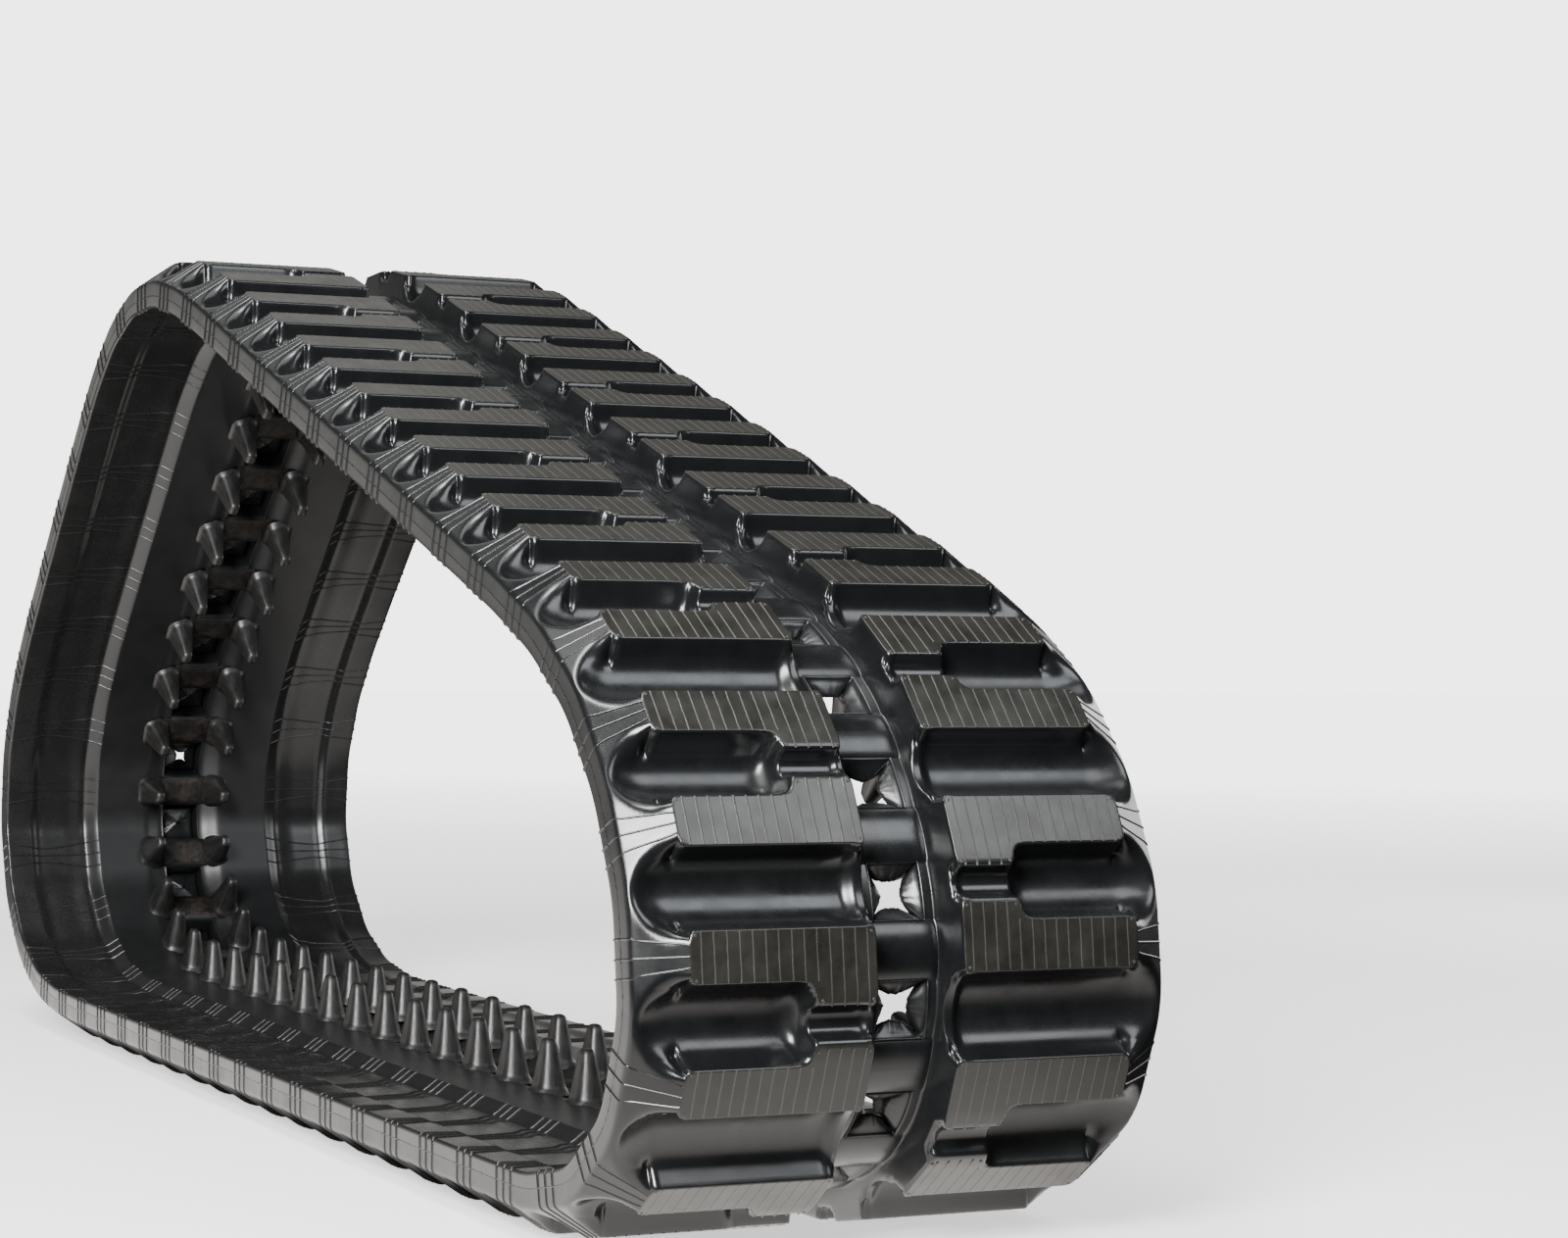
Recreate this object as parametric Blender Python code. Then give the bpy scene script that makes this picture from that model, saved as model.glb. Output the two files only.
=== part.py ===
"""Rubber track, 450 mm wide, 86 mm pitch, 52 links, standing free on its bottom run.

The belt is one endless moulding, so it is described in flat belt coordinates:
  k  link number, 0 to 51, one steel core per link
  u  distance along the belt from the middle of that core, positive towards link k + 1
  y  distance across the belt from its centre line
  h  height out of the belt, 0 on the neutral line, positive towards the ground side
LoopPath turns these into world positions. Each core keeps its stretch of belt flat, and
the rubber between two cores bends.
"""
import math

import bmesh
import bpy
from mathutils import Matrix, Vector

MM = 0.001
GAP = 0.3 * MM  # clearance between touching pieces

# Belt
LINKS = 52
PITCH = 86.0 * MM
HALF_WIDTH = 225.0 * MM
FLAT_HALF = 22.0 * MM  # half of the stretch that a core keeps flat
BEND_LENGTH = PITCH - 2.0 * FLAT_HALF

# Bends of the free-standing loop: middle (link number), turn (degrees), spread (links)
FRONT_UPPER_BEND = (15.03, 58.8, 7.15)
FRONT_LOWER_BEND = (18.58, 101.8, 6.34)
REAR_LOWER_BEND = (40.91, 137.6, 10.42)
REAR_UPPER_BEND = (51.46, 61.8, 7.32)
BOTTOM_LINK = 29  # a link in the middle of the flat bottom run
SMALL_BEND = math.radians(5.0)  # a gap that bends less than this needs no middle section

# Heights in the belt, from the inside of the loop to the ground side
ROLLER_PATH_H = -22.0 * MM
LIP_H = -13.0 * MM
BAND_H = -9.0 * MM
CORE_UNDER_H = -14.0 * MM
CORE_TIP_UNDER_H = -6.5 * MM
PLY_UNDER_H = -3.0 * MM
PLY_OUTER_H = -0.3 * MM
GROOVE_H = 9.0 * MM
BRIDGE_TOP_H = 14.0 * MM
SHOULDER_H = 16.0 * MM
LUG_TOP_H = 41.0 * MM
HORN_TIP_H = -70.0 * MM

# Distances from the belt's centre line
WINDOW_HALF = 23.0 * MM
BRIDGE_HALF = 28.0 * MM
HORN_OUTER = 54.0 * MM
ROLLER_PATH_OUTER = 110.0 * MM
BAND_INNER = 124.0 * MM
BAND_OUTER = 183.0 * MM
LIP_INNER = 193.0 * MM
WING_THICK_END = 100.0 * MM
WING_END = 160.0 * MM
TREAD_INNER = 30.3 * MM
LUG_INNER_TOP = 37.0 * MM
LUG_OUTER_TOP = 187.0 * MM
GROOVE_END = 204.0 * MM  # the lugs' outer ends slope on from here to the belt's edge
FOOT_OUTER_TOP = 86.0 * MM
FOOT_OUTER_BASE = 91.0 * MM

# Lengths along the belt
LUG_HALF_TOP = 19.5 * MM
LUG_SHIFT = 1.5 * MM  # each lug stands this much nearer to the lug that it is paired with
FOOT_TOP_END = 34.5 * MM
FOOT_BASE_END = 37.0 * MM
HORN_BASE_HALF_U = 17.0 * MM
HORN_TIP_HALF_U = 5.0 * MM
HORN_BASE_Y = (29.0 * MM, 53.0 * MM)
HORN_TIP_Y = (35.0 * MM, 46.0 * MM)


class LoopPath:
    """The neutral line of the loop: a flat stretch at each core and an arc between cores."""

    def __init__(self):
        bends = [list(b) for b in (FRONT_UPPER_BEND, FRONT_LOWER_BEND,
                                   REAR_LOWER_BEND, REAR_UPPER_BEND)]
        for _ in range(12):
            gap = self.lay(bends)
            if gap.length < 1e-9:
                break
            slopes = []
            for index in (2, 3):
                moved = [list(b) for b in bends]
                moved[index][0] += 1e-4
                slopes.append((self.lay(moved) - gap) / 1e-4)
            det = slopes[0].x * slopes[1].y - slopes[1].x * slopes[0].y
            bends[2][0] -= (gap.x * slopes[1].y - slopes[1].x * gap.y) / det
            bends[3][0] -= (slopes[0].x * gap.y - gap.x * slopes[0].y) / det
        self.lay(bends)

    def lay(self, bends):
        """Lays the loop out link by link and returns how far it misses closing."""
        self.turn = [0.0] * LINKS
        for middle, degrees, spread in bends:
            weights = []
            for k in range(LINKS):
                away = (k + 0.5 - middle + LINKS / 2) % LINKS - LINKS / 2
                inside = abs(away) < spread / 2
                weights.append(1.0 + math.cos(math.tau * away / spread) if inside else 0.0)
            for k in range(LINKS):
                self.turn[k] += math.radians(degrees) * weights[k] / sum(weights)
        heading = -math.pi + sum(self.turn[:BOTTOM_LINK])
        self.heading = []
        self.centre = []
        place = Vector((0.0, 0.0))
        for k in range(LINKS):
            self.heading.append(heading)
            self.centre.append(place)
            leave = place + FLAT_HALF * self.forward(heading)
            arrive = leave + self.arc(heading, BEND_LENGTH, self.turn[k])
            heading -= self.turn[k]
            place = arrive + FLAT_HALF * self.forward(heading)
        return place - self.centre[0]

    @staticmethod
    def forward(heading):
        return Vector((math.cos(heading), math.sin(heading)))

    @staticmethod
    def arc(heading, length, turn):
        if abs(turn) < 1e-9:
            return length * LoopPath.forward(heading)
        radius = length / turn
        return radius * Vector((math.sin(heading) - math.sin(heading - turn),
                                math.cos(heading - turn) - math.cos(heading)))

    def point(self, k, u, y, h):
        """World position of a belt point. Beyond the flat stretch the belt is laid in
        two straight panels that meet at the middle of the gap."""
        k %= LINKS
        if u < -FLAT_HALF:
            return self.point(k - 1, u + PITCH, y, h)
        heading = self.heading[k]
        start = self.centre[k]
        if u <= FLAT_HALF:
            return self.lift(start + u * self.forward(heading), heading, y, h)
        leave = start + FLAT_HALF * self.forward(heading)
        turn = self.turn[k]
        marks = []
        for part in (0.0, 0.5, 1.0):
            at = leave + self.arc(heading, BEND_LENGTH * part, turn * part)
            marks.append(self.lift(at, heading - turn * part, y, h))
        share = (u - FLAT_HALF) / BEND_LENGTH * 2.0
        first = min(int(share), 1)
        return marks[first].lerp(marks[first + 1], share - first)

    @staticmethod
    def lift(at, heading, y, h):
        return Vector((at.x - h * math.sin(heading), y, at.y + h * math.cos(heading)))


LOOP = LoopPath()
MID = PITCH / 2.0  # u of the middle of the gap after a core
NEXT = PITCH - FLAT_HALF  # u where the next core's flat stretch begins


class BeltMesh:
    """Faces between named belt points. A point is made once and shared by its faces."""

    def __init__(self):
        self.bm = bmesh.new()
        self.verts = {}

    def vert(self, k, u, y, h):
        if u > MID + 1e-9:
            k, u = k + 1, u - PITCH
        key = (k % LINKS, round(u * 1e6), round(y * 1e6), round(h * 1e6))
        if key not in self.verts:
            self.verts[key] = self.bm.verts.new(LOOP.point(k % LINKS, u, y, h))
        return self.verts[key]

    def face(self, points):
        self.bm.faces.new([self.vert(*p) for p in points])

    def panel(self, k, start, end):
        """One face per step of two section outlines. Each outline is (u, rows), and a row
        is a list of (y, h) points whose first and last are the corners of the panel."""
        (u0, rows0), (u1, rows1) = start, end
        for row0, row1 in zip(rows0, rows1):
            near = [(k, u0, y, h) for y, h in row0]
            far = [(k, u1, y, h) for y, h in reversed(row1)]
            self.face(near + far)

    def finish(self, name, material):
        bmesh.ops.recalc_face_normals(self.bm, faces=self.bm.faces[:])
        mesh = bpy.data.meshes.new(name)
        self.bm.to_mesh(mesh)
        self.bm.free()
        return add_object(name, mesh, material)


def add_object(name, mesh, material):
    obj = bpy.data.objects.new(name, mesh)
    if not mesh.materials:
        mesh.materials.append(material)
    TRACK.objects.link(obj)
    obj.parent = LOOP_FRAME
    return obj


def make_material(name, colour, roughness, metallic):
    material = bpy.data.materials.new(name)
    material.use_nodes = True
    shader = material.node_tree.nodes["Principled BSDF"]
    shader.inputs["Base Color"].default_value = (*colour, 1.0)
    shader.inputs["Roughness"].default_value = roughness
    shader.inputs["Metallic"].default_value = metallic
    return material


def gap_stations(k, always=False):
    """Section positions across the gap after core k."""
    bent = always or LOOP.turn[k % LINKS] > SMALL_BEND
    return (FLAT_HALF, MID, NEXT) if bent else (FLAT_HALF, NEXT)


def rows_of(points, extras):
    """Splits a closed outline into its edges, with extra points on the edges named."""
    rows = []
    for i, here in enumerate(points):
        after = points[(i + 1) % len(points)]
        rows.append([here] + extras.get(i, []) + [after])
    return rows


def build_carcass():
    """Inner half of the moulding: roller paths, edge bands, the pockets that hold the
    cores, the rims of the sprocket windows, and a rubber bridge over each core."""
    belt = BeltMesh()
    ply_seat = PLY_UNDER_H - GAP
    pocket = CORE_UNDER_H - GAP
    pocket_tip = CORE_TIP_UNDER_H - GAP
    for k in range(LINKS):
        for side in (-1.0, 1.0):
            a = (side * WINDOW_HALF, ROLLER_PATH_H)
            b = (side * HORN_OUTER, ROLLER_PATH_H)
            c = (side * ROLLER_PATH_OUTER, ROLLER_PATH_H)
            d = (side * BAND_INNER, BAND_H)
            d_out = (side * BAND_OUTER, BAND_H)
            lip = (side * LIP_INNER, LIP_H)
            e = (side * HALF_WIDTH, LIP_H)
            f = (side * HALF_WIDTH, ply_seat)
            g = (side * WING_END, ply_seat)
            p = (side * WING_END, pocket_tip)
            q = (side * BAND_INNER, pocket_tip)
            r = (side * WING_THICK_END, pocket)
            s = (side * HORN_OUTER, pocket)
            rim_foot = (side * BRIDGE_HALF, ply_seat)
            rim_outer = (side * BRIDGE_HALF, GROOVE_H)
            rim_inner = (side * WINDOW_HALF, GROOVE_H)
            rim_notch = (side * WINDOW_HALF, ply_seat)
            outline = [a, c, d, d_out, lip, e, f, rim_foot, rim_outer, rim_inner]
            plain = rows_of(outline, {})
            at_core = rows_of(outline, {0: [b], 6: [g], 9: [rim_notch]})
            marks = gap_stations(k)
            for u0, u1 in zip(marks, marks[1:]):
                start = at_core if u0 == FLAT_HALF else plain
                end = at_core if u1 == NEXT else plain
                belt.panel(k, (u0, start), (u1, end))
            core_zone = rows_of([b, c, d, d_out, lip, e, f, g, p, q, r, s], {})
            belt.panel(k, (-FLAT_HALF, core_zone), (FLAT_HALF, core_zone))
            wall = [a, b, s, r, q, p, g, rim_foot, rim_notch]
            for u in (-FLAT_HALF, FLAT_HALF):
                belt.face([(k, u, y, h) for y, h in wall])
        bridge = [(-BRIDGE_HALF, ply_seat), (BRIDGE_HALF, ply_seat),
                  (BRIDGE_HALF, BRIDGE_TOP_H), (-BRIDGE_HALF, BRIDGE_TOP_H)]
        joins = {0: [(-WINDOW_HALF, ply_seat), (WINDOW_HALF, ply_seat)],
                 1: [(BRIDGE_HALF, GROOVE_H)], 3: [(-BRIDGE_HALF, GROOVE_H)]}
        section = rows_of(bridge, joins)
        belt.panel(k, (-FLAT_HALF, section), (FLAT_HALF, section))
        end_face = [(-WINDOW_HALF, ply_seat), (WINDOW_HALF, ply_seat),
                    (WINDOW_HALF, GROOVE_H), (BRIDGE_HALF, GROOVE_H),
                    (BRIDGE_HALF, BRIDGE_TOP_H), (-BRIDGE_HALF, BRIDGE_TOP_H),
                    (-BRIDGE_HALF, GROOVE_H), (-WINDOW_HALF, GROOVE_H)]
        for u in (-FLAT_HALF, FLAT_HALF):
            belt.face([(k, u, y, h) for y, h in end_face])
    return belt.finish("carcass_rubber", CARCASS_RUBBER)


def build_cord_ply(name, side):
    """Steel cord ply: a thin endless strip that runs over the cores' ground side."""
    belt = BeltMesh()
    inner = side * (BRIDGE_HALF + GAP)
    outer = side * (HALF_WIDTH - GAP)
    outline = [(inner, PLY_UNDER_H), (outer, PLY_UNDER_H), (outer, PLY_OUTER_H), (inner, PLY_OUTER_H)]
    section = rows_of(outline, {})
    marks = []
    for k in range(LINKS):
        straight_in = LOOP.turn[k - 1] < 1e-6
        straight_out = LOOP.turn[k] < 1e-6
        if not (straight_in and straight_out):
            marks += [(k, -FLAT_HALF), (k, FLAT_HALF)]
        if len(gap_stations(k)) == 3:
            marks.append((k, MID))
    for i, (k, u) in enumerate(marks):
        k_end, u_end = marks[(i + 1) % len(marks)]
        for row in section:
            near = [(k, u, y, h) for y, h in row]
            far = [(k_end, u_end, y, h) for y, h in reversed(row)]
            belt.face(near + far)
    return belt.finish(name, CORD_PLY)


def build_tread(name, side, foot_parity):
    """Ground side of one half of the belt. Each link has an L-shaped lug, and the feet of
    the L's point at each other in pairs. The gap between pairs is an open groove, and the
    gap inside a pair is a pocket behind the feet."""
    belt = BeltMesh()
    inner = side * TREAD_INNER
    edge = side * HALF_WIDTH
    base_end = side * GROOVE_END
    foot_base = side * FOOT_OUTER_BASE
    for k in range(LINKS):
        pocket_after = k % 2 == foot_parity
        to = 1.0 if pocket_after else -1.0
        # Core stretch: underside, outer wall, inner wall, lug
        flat = (-FLAT_HALF, FLAT_HALF)
        for row in ([(inner, 0.0), (edge, 0.0)], [(edge, 0.0), (edge, SHOULDER_H)],
                    [(inner, GROOVE_H), (inner, 0.0)]):
            near = [(k, flat[0], y, h) for y, h in row]
            far = [(k, flat[1], y, h) for y, h in reversed(row)]
            belt.face(near + far)
        shift = to * LUG_SHIFT
        plain_u = -to * FLAT_HALF
        body_u = to * FLAT_HALF
        foot_u = to * FOOT_BASE_END
        top_plain_u = shift - to * LUG_HALF_TOP
        top_body_u = shift + to * LUG_HALF_TOP
        top_foot_u = to * FOOT_TOP_END
        base = [(plain_u, inner), (plain_u, base_end), (body_u, base_end),
                (body_u, foot_base), (foot_u, foot_base), (foot_u, inner), (body_u, inner)]
        top = [(top_plain_u, side * LUG_INNER_TOP), (top_plain_u, side * LUG_OUTER_TOP),
               (top_body_u, side * LUG_OUTER_TOP), (top_body_u, side * FOOT_OUTER_TOP),
               (top_foot_u, side * FOOT_OUTER_TOP), (top_foot_u, side * LUG_INNER_TOP)]
        low = [(k, u, y, GROOVE_H) for u, y in base]
        high = [(k, u, y, LUG_TOP_H) for u, y in top]
        end_plain = (k, plain_u, edge, SHOULDER_H)
        end_body = (k, body_u, edge, SHOULDER_H)
        for i in (0, 2, 3, 4):
            belt.face([low[i], low[i + 1], high[i + 1], high[i]])
        belt.face([low[1], end_plain, high[1]])
        belt.face([end_plain, end_body, high[2], high[1]])
        belt.face([end_body, low[2], high[2]])
        belt.face([low[5], low[6], low[0], high[0], high[5]])
        belt.face(high)
        # Gap after the core
        marks = gap_stations(k)
        for u0, u1 in zip(marks, marks[1:]):
            feet = []
            if pocket_after:
                feet = [u for u in (FOOT_BASE_END, PITCH - FOOT_BASE_END) if u0 < u < u1]
            for row in ([(inner, 0.0), (edge, 0.0)], [(edge, 0.0), (edge, SHOULDER_H)],
                        [(edge, SHOULDER_H), (base_end, GROOVE_H)]):
                near = [(k, u0, y, h) for y, h in row]
                far = [(k, u1, y, h) for y, h in reversed(row)]
                belt.face(near + far)
            wall = [(k, u0, inner, 0.0), (k, u0, inner, GROOVE_H)]
            wall += [(k, u, inner, GROOVE_H) for u in feet]
            belt.face(wall + [(k, u1, inner, GROOVE_H), (k, u1, inner, 0.0)])
            floor = [(k, u0, base_end, GROOVE_H)]
            if pocket_after and u0 == FLAT_HALF:
                floor += [(k, u0, foot_base, GROOVE_H), (k, FOOT_BASE_END, foot_base, GROOVE_H),
                          (k, FOOT_BASE_END, inner, GROOVE_H)]
            else:
                floor.append((k, u0, inner, GROOVE_H))
            if pocket_after and u1 == NEXT:
                far_foot = PITCH - FOOT_BASE_END
                floor += [(k, far_foot, inner, GROOVE_H), (k, far_foot, foot_base, GROOVE_H),
                          (k, u1, foot_base, GROOVE_H)]
            else:
                floor.append((k, u1, inner, GROOVE_H))
            belt.face(floor + [(k, u1, base_end, GROOVE_H)])
    return belt.finish(name, TREAD_RUBBER)


def core_mesh():
    """Forged core: a flat bar whose wings thin out towards their tips, and two guide
    horns. Its own frame is the core's: +X along the belt, +Z towards the ground side."""
    half = FLAT_HALF - GAP
    top = PLY_UNDER_H - 2.0 * GAP
    tip = WING_END - GAP
    outline = [(-tip, top), (-tip, CORE_TIP_UNDER_H), (-BAND_INNER, CORE_TIP_UNDER_H),
               (-WING_THICK_END, CORE_UNDER_H), (WING_THICK_END, CORE_UNDER_H),
               (BAND_INNER, CORE_TIP_UNDER_H), (tip, CORE_TIP_UNDER_H), (tip, top)]
    bm = bmesh.new()
    bar = bm.faces.new([bm.verts.new((-half, y, h)) for y, h in outline])
    grown = bmesh.ops.extrude_face_region(bm, geom=[bar])["geom"]
    moved = [v for v in grown if isinstance(v, bmesh.types.BMVert)]
    bmesh.ops.translate(bm, verts=moved, vec=(2.0 * half, 0.0, 0.0))
    bmesh.ops.recalc_face_normals(bm, faces=bm.faces[:])
    bar_mesh = bpy.data.meshes.new("core_bar")
    bm.to_mesh(bar_mesh)
    bm.free()
    bar_object = bpy.data.objects.new("core_blank", bar_mesh)
    bpy.context.scene.collection.objects.link(bar_object)
    for side in (-1.0, 1.0):
        horn = bpy.data.meshes.new("horn")
        bm = bmesh.new()
        bmesh.ops.create_cube(bm, size=1.0)
        for v in bm.verts:
            at_tip = v.co.z < 0.0
            half_u = HORN_TIP_HALF_U if at_tip else HORN_BASE_HALF_U
            near, far = HORN_TIP_Y if at_tip else HORN_BASE_Y
            root = CORE_UNDER_H + 3.0 * MM
            v.co = Vector((math.copysign(half_u, v.co.x),
                           side * (far if v.co.y * side > 0.0 else near),
                           HORN_TIP_H if at_tip else root))
        bmesh.ops.recalc_face_normals(bm, faces=bm.faces[:])
        bm.to_mesh(horn)
        bm.free()
        tool = bpy.data.objects.new("horn_blank", horn)
        bpy.context.scene.collection.objects.link(tool)
        join = bar_object.modifiers.new("weld_on_horn", "BOOLEAN")
        join.operation = "UNION"
        join.solver = "EXACT"
        join.object = tool
    bpy.context.view_layer.update()
    evaluated = bar_object.evaluated_get(bpy.context.evaluated_depsgraph_get())
    mesh = bpy.data.meshes.new_from_object(evaluated)
    mesh.name = "core_bar"
    for obj in [o for o in bpy.context.scene.collection.objects if o.name.endswith("_blank")
                or o.name.startswith("horn_blank")]:
        bpy.data.objects.remove(obj)
    mesh.materials.clear()
    mesh.materials.append(CORE_STEEL)
    return mesh


def build_cores():
    """Places one core per link by its location and rotation."""
    mesh = core_mesh()
    for k in range(LINKS):
        core = add_object(f"core_bar_{k + 1:02d}", mesh, CORE_STEEL)
        centre = LOOP.centre[k]
        place = Matrix.Translation((centre.x, 0.0, centre.y))
        core.matrix_local = place @ Matrix.Rotation(-LOOP.heading[k], 4, "Y")


def stand_on_ground():
    """Moves the whole loop so that its lowest lugs stand on Z = 0, centred on X = 0."""
    xs, zs = [], []
    for name in ("tread_rubber_left", "tread_rubber_right"):
        for v in bpy.data.objects[name].data.vertices:
            xs.append(v.co.x)
            zs.append(v.co.z)
    LOOP_FRAME.location = (-(min(xs) + max(xs)) / 2.0, 0.0, -min(zs))


for old in list(bpy.data.objects):
    bpy.data.objects.remove(old, do_unlink=True)

TRACK = bpy.data.collections.new("rubber_track")
bpy.context.scene.collection.children.link(TRACK)
LOOP_FRAME = bpy.data.objects.new("loop_frame", None)
TRACK.objects.link(LOOP_FRAME)

TREAD_RUBBER = make_material("tread_rubber", (0.018, 0.018, 0.019), 0.38, 0.0)
CARCASS_RUBBER = make_material("carcass_rubber", (0.014, 0.014, 0.015), 0.30, 0.0)
CORD_PLY = make_material("cord_ply", (0.05, 0.05, 0.05), 0.5, 0.2)
CORE_STEEL = make_material("core_steel", (0.10, 0.065, 0.05), 0.55, 0.8)

build_carcass()
build_cord_ply("cord_ply_left", -1.0)
build_cord_ply("cord_ply_right", 1.0)
build_tread("tread_rubber_left", -1.0, 1)
build_tread("tread_rubber_right", 1.0, 0)
build_cores()
stand_on_ground()
bpy.context.view_layer.update()
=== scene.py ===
import math

import bmesh
import bpy
import numpy as np
from mathutils import Matrix, Vector


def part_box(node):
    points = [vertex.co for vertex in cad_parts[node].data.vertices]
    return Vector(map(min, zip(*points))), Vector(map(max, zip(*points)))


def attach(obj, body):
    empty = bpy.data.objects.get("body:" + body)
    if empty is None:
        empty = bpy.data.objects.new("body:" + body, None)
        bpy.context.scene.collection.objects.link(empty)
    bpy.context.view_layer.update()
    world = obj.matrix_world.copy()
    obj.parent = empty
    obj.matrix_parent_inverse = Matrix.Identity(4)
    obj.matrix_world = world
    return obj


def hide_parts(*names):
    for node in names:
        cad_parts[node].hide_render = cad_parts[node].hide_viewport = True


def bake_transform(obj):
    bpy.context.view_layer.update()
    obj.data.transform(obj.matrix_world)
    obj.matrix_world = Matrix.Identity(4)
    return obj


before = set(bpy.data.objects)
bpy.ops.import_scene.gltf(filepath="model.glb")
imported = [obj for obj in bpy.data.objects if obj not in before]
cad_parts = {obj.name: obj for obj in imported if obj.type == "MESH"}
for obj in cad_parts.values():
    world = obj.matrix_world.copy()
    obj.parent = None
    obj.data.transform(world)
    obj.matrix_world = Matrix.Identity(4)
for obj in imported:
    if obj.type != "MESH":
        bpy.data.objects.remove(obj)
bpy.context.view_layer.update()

# The rubber track's looks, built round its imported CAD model.
#
# All shapes are worked out in flat belt coordinates, in millimetres:
#   k  link number, 0 to 51
#   u  distance along the belt from the middle of core k, positive towards core k + 1
#   y  distance across the belt, and s = |y|
#   h  height out of the belt, 0 on the neutral line, positive towards the ground side
# place() bends them onto the loop. Each rubber piece runs from one core to the next.

LINKS = 52
PITCH = 86.0
MID = PITCH / 2
FLAT = 22.0  # half of the stretch that a core keeps flat
BEND = PITCH - 2 * FLAT
# Bends of the loop: middle (link number), turn (degrees), spread (links)
BENDS = ((15.03, 58.8, 7.15), (18.58, 101.8, 6.34),
         (40.90236710652652, 137.6, 10.42), (51.452952487195226, 61.8, 7.32))
BOTTOM_LINK = 29  # a link in the middle of the flat bottom run

# Heights in the belt
LUG_TOP = 40.55
FLOOR = 9.0  # of the tread grooves
RIM = 8.5  # of the sprocket windows
CORE_TOP = -3.6  # ground side of a steel core
BAND = -9.0
LIP = -13.0
RAIL = -22.0  # roller path

# Across the belt
WINDOW_Y = 22.5  # half width of a sprocket window
LUG_START = 37.0
POCKET_START = 108.0  # a pocket's round inner end lies before this
END_START = 186.0  # the grooves narrow from here over END_LENGTH
END_LENGTH = 42.0
LUG_END = 187.0
SHOULDER = (222.0, 16.6)  # s and h where the sloping lug end meets the edge rounding
SIDE = 224.1

# Along the belt
WINDOW_U = 21.0  # half length of the bar between two windows
POCKET_HALF = 22.0
GROOVE_HALF = 25.0
SLOT_HALF = 8.5  # narrow slot between the inner parts of two lugs
CORNER = 4.6  # radius of the lugs' corners
WALL_STEEP = 78.0  # degrees


# ---------------------------------------------------------------- belt path
def lay_loop():
    """Bend, heading and middle of every link, set on the CAD by a core of the bottom run."""
    turn = np.zeros(LINKS)
    for middle, degrees, spread in BENDS:
        away = (np.arange(LINKS) + 0.5 - middle + LINKS / 2) % LINKS - LINKS / 2
        weight = np.where(abs(away) < spread / 2, 1 + np.cos(math.tau * away / spread), 0.0)
        turn += math.radians(degrees) * weight / weight.sum()
    heading = np.zeros(LINKS)
    centre = np.zeros((LINKS, 2))
    now = -math.pi + turn[:BOTTOM_LINK].sum()
    at = np.zeros(2)
    for k in range(LINKS):
        heading[k] = now
        centre[k] = at
        step = FLAT * np.array([math.cos(now), math.sin(now)])
        bend = np.array([BEND * math.cos(now), BEND * math.sin(now)])
        if turn[k] > 1e-9:
            r = BEND / turn[k]
            bend = r * np.array([math.sin(now) - math.sin(now - turn[k]),
                                 math.cos(now - turn[k]) - math.cos(now)])
        now -= turn[k]
        at = at + step + bend + FLAT * np.array([math.cos(now), math.sin(now)])
    low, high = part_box("core_bar_30")
    real = np.array([(low.x + high.x) / 2 * 1000, low.z * 1000 + CORE_TOP])
    return turn, heading, centre + real - centre[BOTTOM_LINK]


TURN, HEADING, CENTRE = lay_loop()


def place(k, u, y, h):
    """World positions, in metres, of belt points given in millimetres."""
    k %= LINKS
    u, y, h = (np.asarray(a, float) for a in np.broadcast_arrays(u, y, h))
    start, turn = HEADING[k], TURN[k]
    into = np.clip(u - FLAT, 0, BEND)
    angle = start - turn * into / BEND
    if turn > 1e-9:
        r = BEND / turn
        x = r * (math.sin(start) - np.sin(angle))
        z = r * (np.cos(angle) - math.cos(start))
    else:
        x, z = into * math.cos(start), into * math.sin(start)
    before = np.minimum(u, FLAT)
    after = np.maximum(u - (PITCH - FLAT), 0)
    x = CENTRE[k, 0] + before * math.cos(start) + x + after * np.cos(angle) - h * np.sin(angle)
    z = CENTRE[k, 1] + before * math.sin(start) + z + after * np.sin(angle) + h * np.cos(angle)
    return np.stack([x, y, z], -1) / 1000


# ---------------------------------------------------------------- shape functions
def smooth(x, low, high):
    t = np.clip((x - low) / (high - low), 0, 1)
    return t * t * (3 - 2 * t)


def soft_min(a, b, r):
    return np.minimum(a, b) - np.maximum(r - abs(a - b), 0) ** 2 / (4 * r)


def soft_max(a, b, r):
    return -soft_min(-a, -b, r)


def pipe(x, half, steep=WALL_STEEP):
    """Height above the floor of a round-bottomed groove, x from its middle."""
    r = half * 0.888
    lean = np.radians(steep)
    edge = r * np.sin(lean)
    inside = r - np.sqrt(np.maximum(r * r - np.minimum(x, edge) ** 2, 0))
    return np.where(x < edge, inside, r * (1 - np.cos(lean)) + (x - edge) * np.tan(lean))


def lug_ends(s):
    """Top of the lugs, sloping down to the belt edge outside and to the windows inside."""
    fall = (LUG_TOP - SHOULDER[1]) / (SHOULDER[0] - LUG_END)
    top = np.where(s > LUG_END, LUG_TOP - (s - LUG_END) * fall, LUG_TOP)
    return np.where(s < LUG_START, LUG_TOP - (LUG_START - s) * 4.5, top)


def corner_cut(s):
    """How far a lug's long edges draw back at its rounded corners."""
    def arc(t):
        return CORNER - np.sqrt(CORNER ** 2 - np.clip(t, 0, CORNER) ** 2)
    outer = arc(s - (LUG_END - CORNER)) * (1 - smooth(s, LUG_END, LUG_END + 12))
    inner = arc(LUG_START + CORNER - s) * smooth(s, LUG_START - 7, LUG_START)
    return outer + inner


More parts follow.
